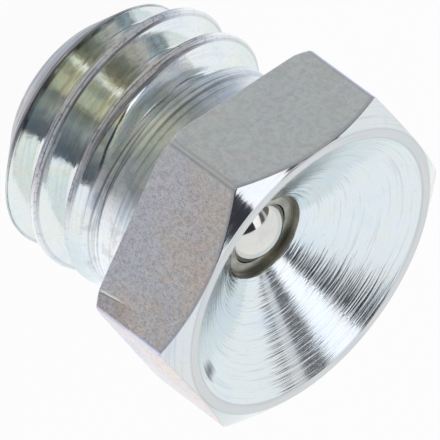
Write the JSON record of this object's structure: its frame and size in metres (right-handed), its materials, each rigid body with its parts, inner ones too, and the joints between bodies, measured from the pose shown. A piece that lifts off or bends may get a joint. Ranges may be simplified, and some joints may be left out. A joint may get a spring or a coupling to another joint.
{
  "type": "grease nipple",
  "caption": "Hexagon-headed grease nipple with a conical inlet, a spring-loaded ball valve and a short external thread.",
  "frame": {"origin": "on the axis, in the plane of the shoulder under the hexagon", "axes": "+Z along the axis and out of the funnel, +X through a corner of the hexagon"},
  "size_m": [0.008, 0.0068, 0.007],
  "materials": {
    "plated_steel": "zinc plated and blue passivated, satin",
    "ball_steel": "polished",
    "spring_steel": "drawn wire"
  },
  "bodies": {
    "nipple": {"body": "plated_steel", "spring": "spring_steel"},
    "valve_ball": {"ball": "ball_steel"}
  },
  "joints": [
    {"name": "ball_slide", "type": "slide", "parent": "nipple", "child": "valve_ball", "axis": [0, 0, 1], "range_m": [-0.0006, 0], "stiffness_N_per_m": 300, "springref_m": 0.0005, "deforming": ["spring"]}
  ]
}
